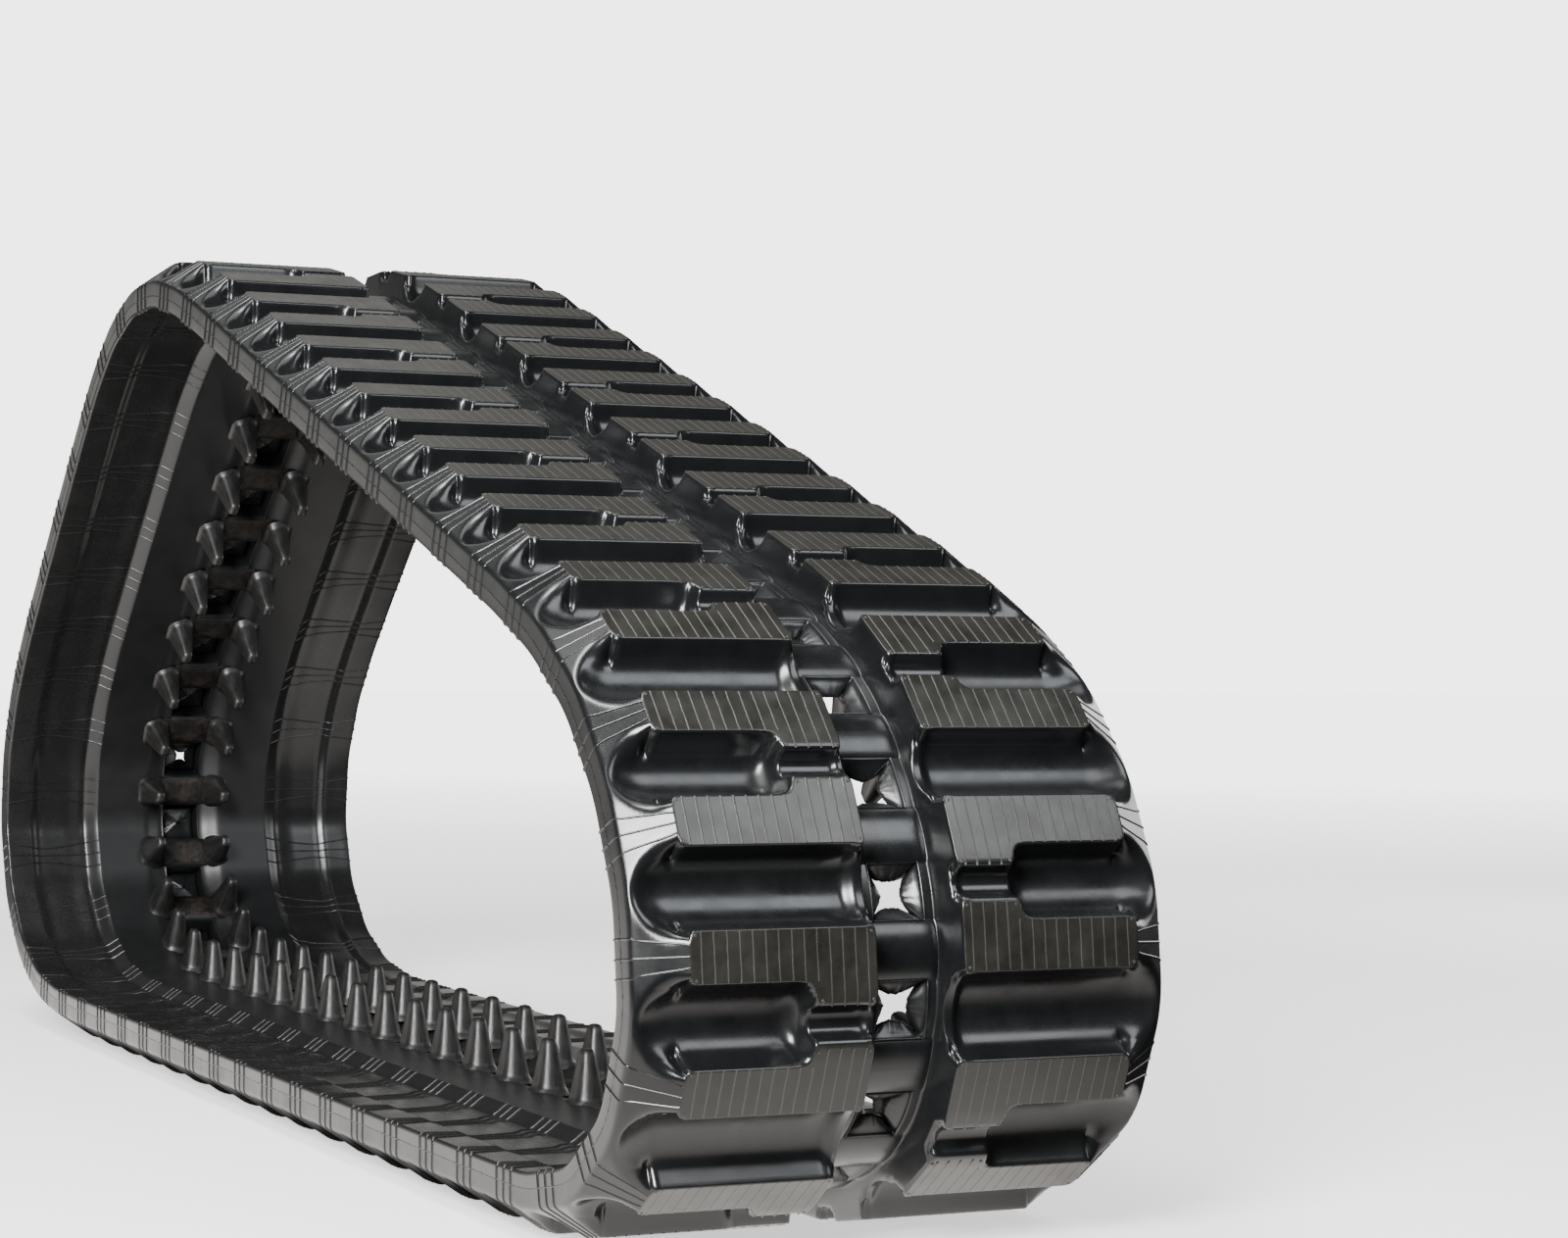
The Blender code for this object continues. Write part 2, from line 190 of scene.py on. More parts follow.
def outer_height(d, s, pocket):
    """Ground side of the belt, d from the middle of the gap between two cores.

    A gap has either a plain groove or a pocket with a shallow, narrow slot inside of it.
    """
    beyond = np.maximum(s - END_START, 0) / END_LENGTH
    cut = corner_cut(s)
    steep = WALL_STEEP - 17.0 * smooth(s, END_START, END_START + 15)
    if pocket:
        half = POCKET_HALF
        end = np.maximum(POCKET_START - s, 0)
        squareness = 3.5
        x = np.where(s < POCKET_START,
                     (abs(d) ** squareness + end ** squareness) ** (1 / squareness),
                     np.sqrt(d * d + (half * beyond) ** 2))
        x = x - cut * smooth(x, half - 9, half) * (s > 120)
        carved = FLOOR + pipe(x, half, steep)
        x = abs(d) - cut * smooth(abs(d), 3, SLOT_HALF) * (s < 60)
        saddle = 26 + 3.5 * (1 - smooth(s, 38.5, 45)) + pipe(x, SLOT_HALF, 74.0)
        saddle = saddle + 4 * np.maximum(s - 88, 0)
        carved = soft_min(carved, saddle, 12.0)
    else:
        half = GROOVE_HALF
        floor = FLOOR + 7 * (1 - smooth(s, 38, 49))
        x = np.sqrt(d * d + (half * beyond) ** 2)
        carved = floor + pipe(x - cut * smooth(x, half - 9, half), half, steep)
    rounding = 1.3 + 16 * smooth(s, 184, 198) - 7 * smooth(s, 207, 221)
    rounding = rounding + 2.2 * (1 - smooth(s, 34, 44))
    height = soft_min(lug_ends(s), carved, rounding)
    core_end = np.sqrt(np.maximum(1 - np.clip((s - 22.5) / 8, 0, 1) ** 2, 0))
    strip = RIM + (block_height(d) - RIM) * core_end
    return np.where(s < 35, soft_max(strip, height, 1.5), height)


def block_height(d):
    """Round-topped rubber bridge over a core, between two windows."""
    away = np.maximum(MID - abs(d), 0) / 23.5
    round_top = 5.5 + 9.6 * np.sqrt(np.maximum(1 - away * away, 0))
    return np.where(abs(d) < WINDOW_U - 0.01, RIM, np.maximum(round_top, RIM))


def inner_height(d, s):
    """Inside of the belt: lip, band, chamfer, roller path, and the dip to the windows."""
    core = smooth(abs(d), 20, 36)
    h = BAND + (LIP - BAND) * smooth(s, 182, 193)
    ripple = 0.35 * np.cos(math.tau * (MID - d) / PITCH)
    h = h + ripple * smooth(s, 124, 132) * (1 - smooth(s, 208, 220))
    chamfer = RAIL + np.clip((s - 109.5) / 15.5, 0, 1) * (BAND - RAIL)
    h = np.where(s < 134, soft_min(h, soft_max(chamfer, np.full_like(s, RAIL), 5.0), 6.5), h)
    dip = 1 - smooth(s, 24, 50 + 6 * core)
    return h + 9.5 * dip


# ---------------------------------------------------------------- grids
# Mesh lines along the belt, from the middle of a gap, and across it, from the centre line.
# They lie closest where the surface turns.
HALF_D = [0, 2.2, 4.2, 6, 7.2, 8.0, 8.7, 9.6, 11, 13, 15, 16.8, 18.2, 19.4, 20.2, 21, 21.6,
          22.2, 22.9, 23.6, 24.3, 24.9, 25.6, 26.6, 28.5, 31.5, 35, 39, 43]
D_LINES = np.array(sorted([-v for v in HALF_D[1:]] + HALF_D))
U_LINES = MID + D_LINES
S_OUT = np.array([22.5, 24.5, 26.5, 28, 29, 29.8, 30.6, 31.5, 32.7, 34, 35.2, 36.2, 36.9, 37.5,
                  38.3, 39.5, 41, 43, 45, 47.5, 50.5, 55, 61, 68, 75, 80, 83, 84.8, 86, 87.2,
                  88.8, 91, 94, 98, 103, 109, 117, 128, 141, 154, 165, 173, 179, 183, 185.4,
                  186.5, 187.2, 188, 189.5, 191.5, 194, 197, 200, 203, 206, 209, 212, 214.5,
                  216.8, 218.8, 220.6, 222.0])
# Points (s, h) of the rounded belt edge, outside and inside, and of a window's side wall
EDGE = [(222.9, 15.6), (223.6, 14.3), (224.0, 12.7), (SIDE, 10.5), (SIDE, 5), (SIDE, 0)]
EDGE_IN = [(SIDE, 0), (SIDE, -5), (SIDE, -9.6), (223.9, -11.2), (223.2, -12.3), (222.2, -12.9)]
S_IN = np.array([220.5, 214, 206, 199, 195, 192, 188.5, 185, 182, 176, 165, 152, 140, 133, 129,
                 126.5, 124.5, 122.5, 119, 115, 112, 110.5, 109.3, 108, 105, 98, 88, 76, 66, 59,
                 55, 51.5, 48, 44, 40, 36, 32, 29, 26.5, 24.6, 23.4])
WALL = [(22.8, -12.6), (22.5, -11.4), (22.5, -6), (22.5, 0), (22.5, 6)]


class Shape:
    """Collects points in belt coordinates and faces, and makes one smooth mesh of them."""

    def __init__(self):
        self.points, self.quads, self.tris, self.count = [], [], [], 0

    def add(self, u, y, h):
        """Adds an array of points and returns their numbers in the same array shape."""
        u, y, h = np.broadcast_arrays(u, y, h)
        index = self.count + np.arange(u.size).reshape(u.shape)
        self.points.append(np.stack([u, y, h], -1).reshape(-1, 3).astype(float))
        self.count += u.size
        return index

    def sheet(self, index, flip=False):
        """Quads over a two-way array of point numbers."""
        a, b, c, d = index[:-1, :-1], index[1:, :-1], index[1:, 1:], index[:-1, 1:]
        q = np.stack([a, b, c, d] if not flip else [a, d, c, b], -1).reshape(-1, 4)
        self.quads.append(q)

    def fan(self, ring, tip, flip=False):
        """Triangles from a closed ring of points to one tip."""
        after = np.roll(ring, -1)
        q = np.stack([ring, after, np.full_like(ring, tip)], -1)
        self.tris.append(q[:, ::-1] if flip else q)

    def mesh(self, name, k=None):
        """The mesh, bent onto the loop from core k, or left flat for a piece that is placed."""
        belt = np.concatenate(self.points)
        world = place(k, belt[:, 0], belt[:, 1], belt[:, 2]) if k is not None else belt / 1000
        quads = np.concatenate(self.quads) if self.quads else np.zeros((0, 4), int)
        tris = np.concatenate(self.tris) if self.tris else np.zeros((0, 3), int)
        mesh = bpy.data.meshes.new(name)
        mesh.vertices.add(len(world))
        mesh.vertices.foreach_set("co", world.ravel())
        mesh.loops.add(quads.size + tris.size)
        mesh.loops.foreach_set("vertex_index", np.concatenate([quads.ravel(), tris.ravel()]))
        mesh.polygons.add(len(quads) + len(tris))
        sizes = np.concatenate([np.full(len(quads), 4), np.full(len(tris), 3)])
        mesh.polygons.foreach_set("loop_start", np.concatenate([[0], np.cumsum(sizes)[:-1]]))
        mesh.update(calc_edges=True)
        mesh.validate()
        mesh.shade_smooth()
        attribute = mesh.attributes.new("belt", "FLOAT_VECTOR", "POINT")
        attribute.data.foreach_set("vector", belt.astype(np.float32).ravel())
        return mesh


def side_lines(shape, side, pocket):
    """Point numbers of one half's ground side, from the window to the parting line."""
    d, s = np.meshgrid(D_LINES, S_OUT, indexing="ij")
    h = outer_height(d, s, pocket)
    s_edge = np.array([p[0] for p in EDGE])
    h_edge = np.array([p[1] for p in EDGE])
    s_all = np.concatenate([s, np.tile(s_edge, (len(D_LINES), 1))], 1)
    h_all = np.concatenate([h, np.tile(h_edge, (len(D_LINES), 1))], 1)
    index = shape.add(U_LINES[:, None] + 0 * s_all, side * s_all, h_all)
    shape.sheet(index, flip=side > 0)
    return index


SKIN = 1.1  # thickness
TEAR_REACH = 28.5  # to the star's points, near the window's corners
# How far the skin over some windows has torn open. The rest up to LAST_RANDOM_SKIN have a
# small random tear or none, and those after it are whole.
TORN = {2: 0.5, 5: 0.4, 8: 0.6, 10: 0.5, 12: 0.6, 13: 0.75, 14: 0.9, 15: 0.9, 16: 1.0, 17: 1.0,
        18: 0.95, 19: 0.6, 42: 0.35}
LAST_RANDOM_SKIN = 19


def skin_tear(angle, rng):
    """Ragged four-pointed star with hollow sides, its points towards the corners."""
    wobble = sum(a * np.sin(n * angle + p) for n, a, p in
                 zip((3, 5, 8, 13, 21), rng.uniform(0.1, 0.35, 5), rng.uniform(0, 6.3, 5)))
    hollow = rng.uniform(0.44, 0.54)
    flaps = rng.uniform(0.75, 1.3, 4)
    c, s = abs(np.cos(angle - math.pi / 4)), abs(np.sin(angle - math.pi / 4))
    radius = TEAR_REACH * (c ** hollow + s ** hollow) ** (-1 / hollow)
    for i, size in enumerate(flaps):
        near = np.maximum(np.cos(angle - i * math.pi / 2), 0) ** 6
        radius = radius * (1 + (size - 1) * near)
    return radius + wobble


def add_membrane(shape, k, rng):
    """Thin moulding skin over a sprocket window, torn open to a star or still whole."""
    count = 96
    step = np.arange(count) * math.tau / count
    angle = step + 0.2 * np.sin(4 * step)
    c, s = np.cos(angle), np.sin(angle)
    reach = 1 / np.maximum(abs(c) / WINDOW_U, abs(s) / WINDOW_Y)
    guess = rng.uniform(-0.5, 0.5)
    opened = TORN.get(k, 0.0 if k > LAST_RANDOM_SKIN else max(guess, 0.0))
    torn = 0.5 + opened * np.minimum(skin_tear(angle, rng), reach - 1.8)
    lean = rng.uniform(-1.2, 1.2, 2)
    t = np.array([0, 0.04, 0.09, 0.16, 0.35, 0.6, 0.85, 1.0])[:, None]
    radius = reach + (torn - reach) * t
    sag = 1.5 * smooth(t, 0.04, 0.16) + (5.0 + 5.0 * opened) * t ** 1.3
    lip = 1.5 * np.exp(-((t - 0.04) / 0.03) ** 2)
    drop = sag - lip + (lean[0] * c + lean[1] * s) * t
    drop = drop + rng.uniform(-0.35, 0.35, (len(t), count)) * (t > 0.5)
    drop = np.where(t == 0, 0, drop)
    top = shape.add(MID + radius * c, radius * s, RIM - drop)
    top = np.concatenate([top, top[:, :1]], 1)
    shape.sheet(top, flip=False)
    low = shape.add(MID + radius[2:] * c, radius[2:] * s, RIM - drop[2:] - SKIN)
    low = np.concatenate([low, low[:, :1]], 1)
    shape.sheet(low, flip=True)
    if opened:
        shape.sheet(np.stack([top[-1], low[-1]]), flip=False)
    else:
        tips = shape.add(np.full(2, MID), np.zeros(2),
                         RIM - drop[-1].mean() - np.array([0, SKIN]))
        shape.fan(top[-1, :-1], tips[0])
        shape.fan(low[-1, :-1], tips[1], flip=True)
    shape.sheet(np.stack([top[0], low[0]]), flip=True)


def add_ridge(shape, points, width, height, crown=0.16):
    """Thin raised line along belt points (u, y, h) with unit normals in (y, h).

    crown is half of its flat top's share of the width.
    """
    p = np.array([q[:3] for q in points], float)
    n = np.array([q[3:5] for q in points], float)
    along = np.gradient(p, axis=0)
    normal = np.stack([np.zeros(len(p)), n[:, 0], n[:, 1]], -1)
    across = np.cross(along, normal)
    across /= np.linalg.norm(across, axis=1)[:, None]
    foot = -0.12  # a little below the surface
    rows = []
    for side, lift in ((-0.5, foot), (-crown, height), (crown, height), (0.5, foot)):
        rows.append(p + across * width * side + normal * lift)
    block = np.stack(rows, 1)
    index = shape.add(block[..., 0], block[..., 1], block[..., 2])
    shape.sheet(index, flip=True)


def section_normals(s, h, side):
    """Outward unit normals in (y, h) of a section line that runs from window to window."""
    ds, dh = np.gradient(s), np.gradient(h)
    size = np.hypot(ds, dh)
    return -dh / size * side, ds / size


def add_outer_lines(shape, side, pockets, rng):
    """Three mould lines from each lug's outer end over the shoulder to the parting line."""
    slope = [187.6, 192, 200, 208, 216, 221, 222.0]
    top = len(slope)
    s = np.array(slope + [p[0] for p in EDGE])
    h = np.concatenate([lug_ends(s[:top]), [p[1] for p in EDGE]])
    h[-1] = 0.6
    ny, nh = section_normals(s, h, side)
    spread = np.interp(np.arange(len(s)), [0, top - 1, len(s)], [8.0, 14.2, 14.4])
    for line in (-1, 0, 1):
        wander = line * spread + rng.uniform(-0.25, 0.25)
        surface = outer_height(MID - abs(wander[:top]), s[:top], pockets[line > 0])
        lowered = np.append(surface, h[top:])
        add_ridge(shape, np.stack([wander, side * s, lowered, ny, nh], -1), 2.0, 0.8)


def add_inner_lines(shape, side, rng):
    """The same three lines from the parting line over the lip and band to the roller path."""
    band = S_IN[S_IN > 109]
    s = np.concatenate([[p[0] for p in EDGE_IN], band])
    h = np.concatenate([[p[1] for p in EDGE_IN], inner_height(np.full(len(band), MID), band)])
    h[0] = -0.6
    ny, nh = section_normals(s, h, side)
    spread = np.interp(s, [109, 126, 150, 174, 192, 222],
                       [15.5, 15.5, 11.5, 8.8, 9.8, 14.4])
    for line in (-1, 0, 1):
        wander = line * spread + rng.uniform(-0.25, 0.25)
        shift = inner_height(MID - abs(wander), s) - inner_height(np.full_like(s, MID), s)
        lifted = h + np.where(s < 222, shift, 0)
        add_ridge(shape, np.stack([wander, side * s, lifted, ny, nh], -1), 2.3, 1.0)


def add_flash(shape, side, rng):
    """Ragged flash along the parting line on the belt's edge."""
    count, least = 44, 0.18
    u = np.linspace(0, PITCH, count)
    rough = least + 0.3 * rng.random(count) * (rng.random(count) < 0.4)
    rough[0] = rough[-1] = least
    ragged = rng.uniform(-0.15, 0.15, count) * np.sin(u / PITCH * math.pi)
    wave = 0.25 * np.sin(u / PITCH * math.tau) + ragged
    rows = [(-0.8, -0.15), (-0.25, 1.0), (0.25, 1.0), (0.8, -0.15)]
    out = np.stack([rough * a if a > 0 else 0 * rough + a for _, a in rows], 1)
    index = shape.add(u[:, None] + np.zeros(len(rows)), side * (SIDE + out),
                      wave[:, None] + np.array([a for a, _ in rows]))
    shape.sheet(index, flip=side < 0)


def add_sipes(shape, side, pocket_after, rng):
    """Fine raised lines along the travel direction on the top of a lug."""
    to = 1 if pocket_after else -1  # the side that the lug's inner part reaches out to
    half, shift = 19.5, 1.5 * to
    foot, foot_end = 34.5, 85.0
    start, step, count, points = 44.0, 10.35, 14, 7
    for i in range(count):
        s = start + i * step + rng.uniform(-0.3, 0.3)
        far = foot if s < foot_end else half + 1.5
        low, high = sorted((shift - to * half, to * far))
        u = np.linspace(low + 0.5, high - 0.5, points)
        flat = np.zeros(points)
        waver = rng.uniform(-0.22, 0.22, points)
        pts = np.stack([u, side * (s + waver), flat + LUG_TOP, flat, flat + 1], -1)
        add_ridge(shape, pts, 1.9, 0.4, crown=0.06)


def add_nub(shape, u, y, h, radius, height):
    """Low round mark with a dimple."""
    ring = np.arange(8) * math.tau / 8
    rows = [(1.0, -0.1), (0.95, 0.6), (0.6, 1.0), (0.35, 0.45)]
    index = [shape.add(u + radius * r * np.cos(ring), y + radius * r * np.sin(ring),
                       h + height * z) for r, z in rows]
    block = np.stack([np.append(i, i[0]) for i in index])
    shape.sheet(block, flip=False)
    tip = shape.add(np.array([u]), np.array([y]), np.array([h + height * 0.4]))
    shape.fan(index[-1], tip[0])


def add_nubs(shape, side, pocket_after):
    """Small vent marks at the corners of a lug top."""
    to = 1 if pocket_after else -1
    spots = [(-to * 14.8, 40.6), (-to * 14.8, 183.2), (to * 17.8, 183.2),
             (to * 31.4, 82.6), (to * 31.4, 40.6)]
    for u, s in spots:
        add_nub(shape, u, side * s, LUG_TOP, 1.35, 0.36)


def tread_shape(k, rng):
    """Ground side of the rubber from core k to the next, with the skin over its window."""
    shape = Shape()
    sides = {}
    for side in (-1, 1):
        pocket = (k % 2 == 1) == (side < 0)
        sides[side] = side_lines(shape, side, pocket)
        add_outer_lines(shape, side, (not pocket, pocket), rng)
        add_sipes(shape, side, pocket, rng)
        add_nubs(shape, side, pocket)
        add_flash(shape, side, rng)
    y = np.array([-17.0, -10, -3.5, 3.5, 10, 17])
    for rows in (np.where(D_LINES <= -WINDOW_U + 1e-6)[0],
                 np.where(D_LINES >= WINDOW_U - 1e-6)[0]):
        h = block_height(D_LINES[rows])[:, None] + 0 * y
        middle = shape.add(U_LINES[rows][:, None] + 0 * y, y + 0 * h, h)
        shape.sheet(np.concatenate([sides[-1][rows][:, :1], middle, sides[1][rows][:, :1]], 1),
                    flip=True)
    add_membrane(shape, k, rng)
    return shape


def carcass_shape(k, rng):
    """Inside of the rubber from core k to the next, and the walls of the window."""
    shape = Shape()
    for side in (-1, 1):
        d, s = np.meshgrid(D_LINES, S_IN, indexing="ij")
        h = inner_height(d, s)
        rows = len(D_LINES)
        before = np.tile([p[0] for p in EDGE_IN], (rows, 1))
        s_all = np.concatenate([before, s, np.tile([p[0] for p in WALL], (rows, 1))], 1)
        h_all = np.concatenate([np.tile([p[1] for p in EDGE_IN], (rows, 1)), h,
                                np.tile([p[1] for p in WALL], (rows, 1))], 1)
        index = shape.add(U_LINES[:, None] + 0 * s_all, side * s_all, h_all)
        shape.sheet(index, flip=side > 0)
        add_inner_lines(shape, side, rng)
    y = np.linspace(-WINDOW_Y, WINDOW_Y, 7)
    for end in (-1, 1):
        h = np.array([RIM + 0.3, 4, -2, -8, -13, -14.5])[:, None]
        lean = np.array([0, 0.4, 1.0, 1.8, 3.2, 8.0])[:, None]
        wall = shape.add(MID + end * (WINDOW_U + lean) + 0 * y, y + 0 * h, h + 0 * y)
        shape.sheet(wall, flip=end > 0)
    return shape


# ---------------------------------------------------------------- cores
def horn_shape(side):
    """One rubber-covered guide horn: flat slanted faces, round ends, a blunt tip."""
    shape = Shape()
    flat = 0.55  # share of the length that is flat
    edge = 0.97
    arc = np.radians([62, 42, 20, 0, -20, -42, -62])
    outline = [(-flat, 1.0), (-flat * 0.3, 1.0), (flat * 0.3, 1.0), (flat, 1.0)]
    outline += [(flat + (1 - flat) * math.cos(a), math.sin(a) * edge) for a in arc]
    outline += [(flat, -1.0), (flat * 0.3, -1.0), (-flat * 0.3, -1.0), (-flat, -1.0)]
    outline += [(-flat - (1 - flat) * math.cos(a), math.sin(a) * edge) for a in arc[::-1]]
    pu = np.array([p[0] for p in outline])
    ps = np.array([p[1] for p in outline])
    rings = []
    # h, half length, inner s, outer s
    table = [(-17.5, 21.0, 25.5, 59.8), (-20.5, 19.4, 26.0, 58.0), (-22.3, 18.0, 26.8, 56.2),
             (-24.0, 16.9, 27.8, 54.8), (-27.0, 16.1, 28.8, 53.8), (-33.0, 15.0, 29.9, 52.7),
             (-41.0, 13.3, 31.3, 51.4), (-49.0, 11.6, 32.7, 50.0), (-57.0, 9.9, 34.1, 48.7),
             (-62.5, 8.7, 35.1, 47.8), (-65.6, 7.5, 35.9, 47.0), (-67.5, 5.7, 37.3, 45.6),
             (-68.4, 3.0, 39.3, 43.5)]
    for h, half, near, far in table:
        middle, thick = (near + far) / 2, (far - near) / 2
        rings.append(shape.add(pu * half, side * (middle + ps * thick), h + 0 * pu))
    block = np.stack([np.append(r, r[0]) for r in rings])
    shape.sheet(block, flip=side < 0)
    tip = shape.add(np.array([0.0]), np.array([side * 41.1]), np.array([-68.6]))
    shape.fan(rings[-1], tip[0], flip=side > 0)
    return shape


def steel_shape(rng):
    """Bare middle of the forged core between the horns, rounded and a little rough."""
    shape = Shape()
    y = np.linspace(-31, 31, 33)
    angle = np.linspace(0, math.tau, 29)[:-1]
    c, s = np.cos(angle), np.sin(angle)
    square = 2 / 2.8
    cu = np.sign(c) * abs(c) ** square
    ch = np.sign(s) * abs(s) ** square
    worn = np.exp(-(y / 17) ** 4)[:, None]  # where the sprocket's teeth push
    rough = rng.uniform(-0.22, 0.22, (len(y), len(angle)))
    u = 18.3 * (1 - 0.09 * worn) * cu + rough
    h = -9.6 + 7.0 * ch * (1 - 0.06 * worn) + rough
    index = shape.add(u, y[:, None] + 0 * u, h)
    shape.sheet(np.concatenate([index, index[:, :1]], 1), flip=False)
    return shape


# ---------------------------------------------------------------- materials
class Nodes:
    """Short helper to build one Principled material from nodes."""

    def __init__(self, name):
        self.material = bpy.data.materials.new(name)
        self.material.use_nodes = True
        self.tree = self.material.node_tree
        self.shader = self.tree.nodes["Principled BSDF"]

    def add(self, kind, values=None, **settings):
        node = self.tree.nodes.new(kind)
        for key, value in settings.items():
            setattr(node, key, value)
        for key, value in (values or {}).items():
            if isinstance(value, bpy.types.NodeSocket):
                self.tree.links.new(value, node.inputs[key])
            else:
                node.inputs[key].default_value = value
        return node

    def join(self, output, name):
        self.tree.links.new(output, self.shader.inputs[name])

    def coordinates(self):
        return self.add("ShaderNodeTexCoord").outputs["Object"]

    def noise(self, scale, detail=4.0, roughness=0.55, where=None):
        values = {"Vector": where or self.coordinates(), "Scale": scale, "Detail": detail,
                  "Roughness": roughness}
        return self.add("ShaderNodeTexNoise", values).outputs["Fac"]

    def ramp(self, value, low, high, to_low=0.0, to_high=1.0):
        values = {"Value": value, "From Min": low, "From Max": high,
                  "To Min": to_low, "To Max": to_high}
        return self.add("ShaderNodeMapRange", values).outputs["Result"]

    def math(self, operation, a, b=0.0):
        return self.add("ShaderNodeMath", {0: a, 1: b}, operation=operation).outputs[0]

    def blend(self, factor, a, b):
        node = self.add("ShaderNodeMix", {0: factor}, data_type="RGBA")
        for socket, value in ((node.inputs[6], a), (node.inputs[7], b)):
            if isinstance(value, bpy.types.NodeSocket):
                self.tree.links.new(value, socket)
            else:
                socket.default_value = value
        return node.outputs[2]

    def bump(self, height, strength, distance):
        values = {"Height": height, "Strength": strength, "Distance": distance}
        return self.add("ShaderNodeBump", values).outputs["Normal"]


RUBBER_IOR = 1.52


def grey(value, warm=0.0):
    return (value * (1 + warm), value, value * (1 - warm), 1.0)


def belt_rubber(name, inside):
    """Moulded black rubber: glossy where it was pressed, dull and dusty on the lug tops, where
    the raised lines carry a painted highlight.
    """
    m = Nodes(name)
    belt = m.add("ShaderNodeAttribute", attribute_name="belt").outputs["Vector"]
    parts = m.add("ShaderNodeSeparateXYZ", {0: belt}).outputs
    broad = m.noise(7.0, 5.0, 0.6)
    fine = m.noise(420.0, 3.0, 0.6)
    patch = m.noise(38.0, 6.0, 0.65)
    base = m.blend(m.ramp(patch, 0.3, 0.75), grey(0.0055, -0.08), grey(0.008, -0.05))
    rough = m.math("ADD", m.ramp(broad, 0.3, 0.7, 0.18, 0.23),
                   m.ramp(patch, 0.25, 0.75, -0.02, 0.05))
    height = m.math("ADD", m.math("MULTIPLY", patch, 0.12), m.math("MULTIPLY", fine, 0.03))
    if inside:
        edge = m.ramp(m.math("ABSOLUTE", parts["Y"]), 108, 126)
        dust = m.math("MULTIPLY", edge, m.ramp(broad, 0.35, 0.7, 0.2, 0.4))
        base = m.blend(dust, base, grey(0.016, 0.06))
        rough = m.math("ADD", rough, m.ramp(edge, 0.0, 1.0, 0.2, 0.05))
    else:
        deep = m.ramp(parts["Z"], 20.0, 11.0)
        dull = m.math("MULTIPLY", deep, m.ramp(patch, 0.3, 0.7, 0.04, 0.13))
        rough = m.math("ADD", rough, dull)
        top = m.ramp(parts["Z"], LUG_TOP - 0.5, LUG_TOP - 0.05)
        olive = m.blend(m.ramp(patch, 0.3, 0.72), (0.0095, 0.0093, 0.0075, 1),
                        (0.019, 0.0185, 0.0155, 1))
        base = m.blend(top, base, olive)
        # Painted highlight: the raised sipe lines get a lighter colour that stands in for the
        # glints along their edges.
        raised = m.ramp(parts["Z"], LUG_TOP + 0.04, LUG_TOP + 0.2)
        base = m.blend(raised, base, grey(0.032, 0.03))
        dull = m.math("MULTIPLY", top, m.ramp(patch, 0.3, 0.7, 0.05, 0.17))
        rough = m.math("ADD", rough, dull)
        height = m.math("ADD", height, m.math("MULTIPLY", m.math("MULTIPLY", top, fine), 0.5))
    m.join(base, "Base Color")
    m.join(rough, "Roughness")
    m.shader.inputs["IOR"].default_value = RUBBER_IOR
    m.join(m.bump(height, 0.35, 0.0006), "Normal")
    return m.material


def horn_rubber():
    """Rubber skin of the horns, rubbed dull in streaks towards the tip."""
    m = Nodes("horn_rubber")
    patch = m.noise(60.0, 5.0, 0.6)
    streak = m.add("ShaderNodeMapping", {"Vector": m.coordinates(), "Scale": (3.0, 3.0, 0.35)})
    lines = m.noise(90.0, 4.0, 0.6, streak.outputs[0])
    base = m.blend(m.ramp(lines, 0.4, 0.7), grey(0.008), grey(0.018, 0.06))
    m.join(base, "Base Color")
    m.join(m.ramp(patch, 0.3, 0.7, 0.32, 0.46), "Roughness")
    m.shader.inputs["IOR"].default_value = RUBBER_IOR
    m.join(m.bump(lines, 0.3, 0.0005), "Normal")
    return m.material


def forged_steel():
    """Dark forging scale with rust-brown blotches and a few bare spots."""
    m = Nodes("forged_steel")
    blotch = m.noise(55.0, 6.0, 0.7)
    grain = m.noise(650.0, 4.0, 0.7)
    spots = m.noise(160.0, 5.0, 0.75)
    base = m.blend(m.ramp(blotch, 0.42, 0.62), (0.009, 0.0085, 0.008, 1),
                   (0.022, 0.0155, 0.012, 1))
    base = m.blend(m.ramp(spots, 0.62, 0.7), base, (0.1, 0.08, 0.065, 1))
    m.join(base, "Base Color")
    m.join(m.ramp(blotch, 0.4, 0.62, 0.38, 0.75), "Roughness")
    m.join(m.ramp(spots, 0.45, 0.7, 0.25, 0.85), "Metallic")
    both = m.math("ADD", m.math("MULTIPLY", blotch, 1.2), m.math("MULTIPLY", grain, 0.4))
    m.join(m.bump(both, 0.6, 0.0009), "Normal")
    return m.material


TREAD = belt_rubber("tread_rubber_gloss", False)
CARCASS = belt_rubber("carcass_rubber_gloss", True)
HORN = horn_rubber()
STEEL = forged_steel()


# ---------------------------------------------------------------- pieces
BODY_CORES = (("bottom_run", range(20, 39)), ("rear_lower", range(39, 42)),
              ("rear_wall", range(42, 52)), ("top_run", range(0, 7)),
              ("front_upper", range(7, 16)), ("front_lower", range(16, 20)))
BODY = {k: name for name, cores in BODY_CORES for k in cores}
OPEN_GAP = 6  # the linkage's open pivot: the rubber is cut in two here
RUBBER_NODES = ("carcass_rubber", "cord_ply_left", "cord_ply_right",
                "tread_rubber_left", "tread_rubber_right")


def new_piece(name, mesh, material):
    mesh.materials.append(material)
    piece = bpy.data.objects.new(name, mesh)
    bpy.context.scene.collection.objects.link(piece)
    return piece


